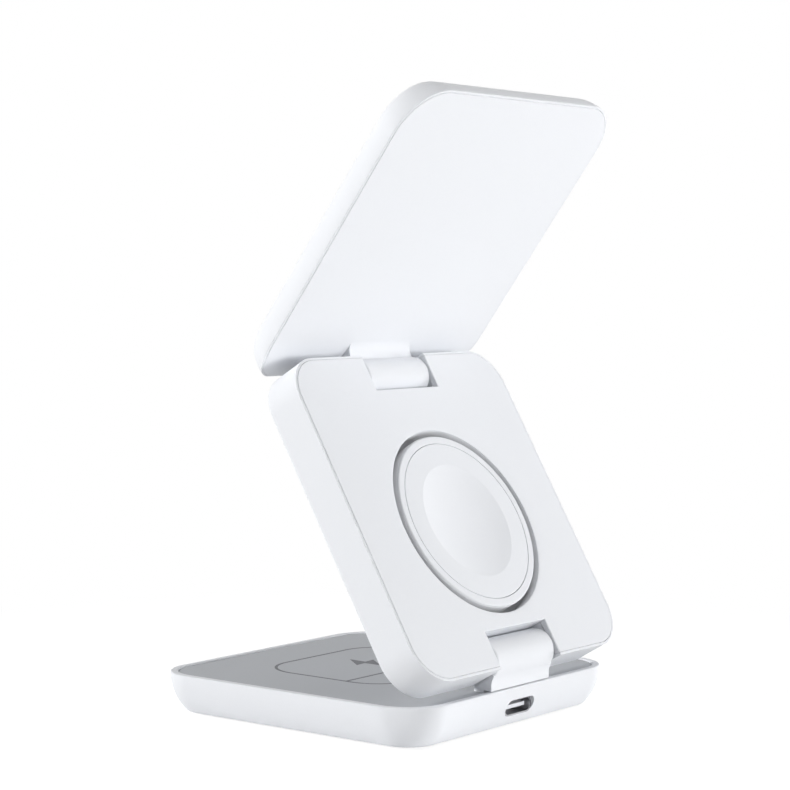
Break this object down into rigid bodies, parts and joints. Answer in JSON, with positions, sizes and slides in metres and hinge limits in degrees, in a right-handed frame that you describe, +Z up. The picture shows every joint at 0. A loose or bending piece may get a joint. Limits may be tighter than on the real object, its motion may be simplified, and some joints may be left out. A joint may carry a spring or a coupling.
{
  "type": "foldable wireless charging stand",
  "caption": "Foldable charging stand of square pads joined in a Z by friction hinges: an earphone base, a tilted watch pad with a round disc, and a magnetic phone pad.",
  "frame": {"origin": "on the table under the middle of the base pad", "axes": "+Z up, -Y towards the user and the free edge of the base, +Y towards the lower hinge and the power inlet, +X to the right of the user"},
  "size_m": [0.0656, 0.0671, 0.1199],
  "materials": {
    "white_plastic": "fine satin moulded",
    "grey_plate": "soft matte",
    "rubber_pad": "matte",
    "plated_steel": "nickel plated",
    "hinge_steel": "machined",
    "black_plastic": "matte",
    "inner_plastic": "as moulded",
    "circuit_board": "solder mask",
    "copper_coil": "enamelled copper wire",
    "ferrite": "dull sintered",
    "magnet": "nickel plated"
  },
  "bodies": {
    "base": {"base_shell": "white_plastic", "base_top_plate": "grey_plate", "anti_slip_pad": "rubber_pad", "usb_c_shell": "plated_steel", "usb_c_tongue": "white_plastic", "base_circuit_board": "circuit_board", "base_board_chips": "black_plastic", "base_coil_tray": "inner_plastic", "base_coil": "copper_coil", "base_ferrite": "ferrite", "lower_hinge_arm": "white_plastic", "lower_friction_sleeve": "hinge_steel", "arm_screws": "hinge_steel"},
    "middle_pad": {"middle_shell": "white_plastic", "watch_face_plate": "white_plastic", "lower_hinge_pin": "hinge_steel", "upper_hinge_pin": "hinge_steel", "lower_clamp_left": "hinge_steel", "lower_clamp_right": "hinge_steel", "upper_clamp_left": "hinge_steel", "upper_clamp_right": "hinge_steel", "clamp_screws": "hinge_steel", "watch_housing": "white_plastic", "watch_cap": "white_plastic", "watch_coil": "copper_coil", "watch_ferrite": "ferrite", "watch_magnet": "magnet", "middle_circuit_board": "circuit_board"},
    "upper_pad": {"upper_shell": "white_plastic", "upper_inner_cover": "white_plastic", "upper_friction_sleeve": "hinge_steel", "magnet_ring": "magnet", "magnet_backing_ring": "hinge_steel", "phone_coil": "copper_coil", "phone_ferrite": "ferrite", "upper_circuit_board": "circuit_board"}
  },
  "joints": [
    {"name": "lower_hinge", "type": "hinge", "parent": "base", "child": "middle_pad", "pos_m": [0, 0.0295, 0.0138], "axis": [-1, 0, 0], "range_deg": [-59.6, 30.4]},
    {"name": "upper_hinge", "type": "hinge", "parent": "middle_pad", "child": "upper_pad", "pos_m": [0, -0.00063, 0.06515], "axis": [1, 0, 0], "range_deg": [-112.5, 7.5]}
  ]
}
